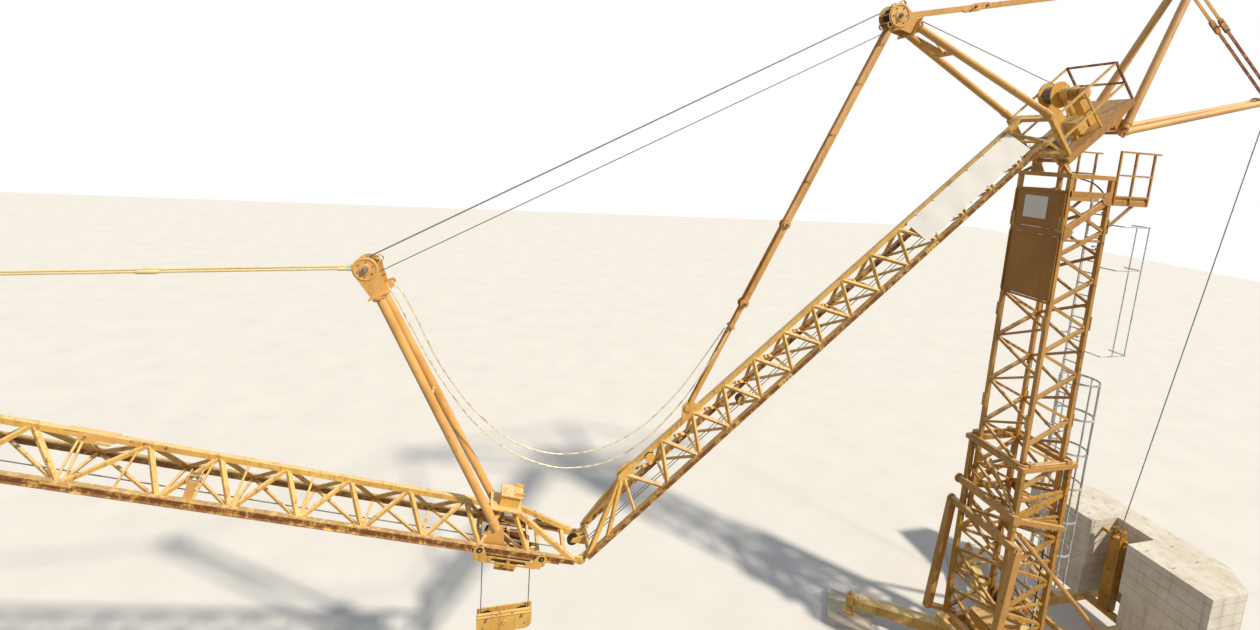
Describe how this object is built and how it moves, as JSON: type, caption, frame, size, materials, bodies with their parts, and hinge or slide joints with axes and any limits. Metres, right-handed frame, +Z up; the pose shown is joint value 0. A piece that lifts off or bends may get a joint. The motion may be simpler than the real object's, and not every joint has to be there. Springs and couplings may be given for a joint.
{
  "type": "self-erecting tower crane",
  "caption": "Bottom-slewing lattice tower crane on outriggers, caught with its folding triangular jib half unfolded; slews, luffs, unfolds, trolley travels, hook hoists.",
  "frame": {"origin": "on the ground at the slewing axis", "axes": "+Z up, -X towards the jib, +X towards the ballast, Y across"},
  "size_m": [33.6685, 7.9536, 17.8772],
  "materials": {
    "yellow_paint": "satin, sun-faded",
    "ochre_paint": "satin, weathered",
    "galvanised": "matt zinc",
    "concrete": "cast concrete",
    "white_sheet": "matt white",
    "wire_rope": "greased"
  },
  "bodies": {
    "base": {"support_pads": "concrete", "undercarriage": "yellow_paint", "slew_ring": "galvanised"},
    "slewing_part": {"slewing_platform": "yellow_paint", "ballast_far": "concrete", "ballast_near": "concrete", "ballast_middle": "concrete", "ballast_post": "ochre_paint", "outer_tower_front": "ochre_paint", "outer_tower_rear": "ochre_paint", "outer_tower_near": "ochre_paint", "outer_tower_far": "ochre_paint", "tower_collar": "yellow_paint", "erection_frame": "yellow_paint", "base_winch": "yellow_paint", "control_cabinet": "yellow_paint", "base_braces": "yellow_paint", "ladder": "galvanised", "safety_cage": "galvanised", "inner_tower_front": "yellow_paint", "inner_tower_rear": "yellow_paint", "inner_tower_near": "yellow_paint", "inner_tower_far": "yellow_paint", "front_panels": "ochre_paint", "sign_plate": "white_sheet", "tower_head": "yellow_paint", "service_platform": "yellow_paint"},
    "upper_works": {"jib_root_frame": "yellow_paint", "winch_platform": "yellow_paint", "platform_railing": "yellow_paint", "unfolding_winch": "yellow_paint", "winch_motor": "yellow_paint", "inner_jib_near": "yellow_paint", "inner_jib_far": "yellow_paint", "inner_jib_bottom": "yellow_paint", "banner": "white_sheet", "front_strut": "yellow_paint", "middle_strut": "yellow_paint", "rear_strut": "yellow_paint", "upper_pendants": "yellow_paint"},
    "outer_jib": {"outer_jib_near": "yellow_paint", "outer_jib_far": "yellow_paint", "outer_jib_bottom": "yellow_paint", "foot_bracket": "yellow_paint", "outer_strut": "yellow_paint", "outer_pendants": "yellow_paint", "slack_rope_near": "wire_rope", "slack_rope_far": "wire_rope"},
    "trolley": {"trolley": "yellow_paint"},
    "hoist_ropes": {"hoist_falls": "wire_rope"},
    "hook_block": {"hook_block": "yellow_paint", "load_hook": "ochre_paint"},
    "guy_rope": {"guy_rope": "wire_rope"},
    "cable_front": {"unfolding_cables": "wire_rope"},
    "cable_back": {"unfolding_return": "wire_rope"}
  },
  "joints": [
    {"name": "slew", "type": "hinge", "parent": "base", "child": "slewing_part", "pos_m": [0, 0, 0.73], "axis": [0, 0, 1], "continuous": true},
    {"name": "jib_luff", "type": "hinge", "parent": "slewing_part", "child": "upper_works", "pos_m": [-0.9905, 0, 13.315], "axis": [0, 1, 0], "range_deg": [0, 42], "deforming": ["guy_rope"]},
    {"name": "jib_unfold", "type": "hinge", "parent": "upper_works", "child": "outer_jib", "pos_m": [-11.4552, 0, 4.8963], "axis": [0, -1, 0], "range_deg": [0, 58.73], "deforming": ["slack_rope_near", "slack_rope_far"]},
    {"name": "trolley_travel", "type": "slide", "parent": "outer_jib", "child": "trolley", "axis": [-0.9577, 0, 0.2879], "range_m": [0, 14.4]},
    {"name": "rope_swing", "type": "hinge", "parent": "trolley", "child": "hoist_ropes", "pos_m": [-12.8722, 0, 5.0978], "axis": [0, 1, 0], "range_deg": [-5, 16.73]},
    {"name": "hook_hoist", "type": "slide", "parent": "hoist_ropes", "child": "hook_block", "axis": [0, 0, -1], "range_m": [-0.9, 8], "deforming": ["hoist_falls"]},
    {"name": "guy_turn", "type": "hinge", "parent": "slewing_part", "child": "guy_rope", "pos_m": [3.6, 0, 3.36], "axis": [0, 1, 0], "range_deg": [-0.5, 5]},
    {"name": "cable_turn", "type": "hinge", "parent": "upper_works", "child": "cable_front", "pos_m": [-5.5898, 0, 15.9423], "axis": [0, -1, 0], "range_deg": [-0.5, 13.6]},
    {"name": "return_turn", "type": "hinge", "parent": "outer_jib", "child": "cable_back", "pos_m": [-15.3591, 0, 10.6329], "axis": [0, -1, 0], "range_deg": [-46, 0.5]}
  ],
  "couplings": [
    {"joint": "guy_turn", "follows": "jib_luff", "ratio": 0.1024},
    {"joint": "cable_turn", "follows": "jib_unfold", "ratio": 0.2237},
    {"joint": "return_turn", "follows": "jib_unfold", "ratio": -0.7763}
  ]
}
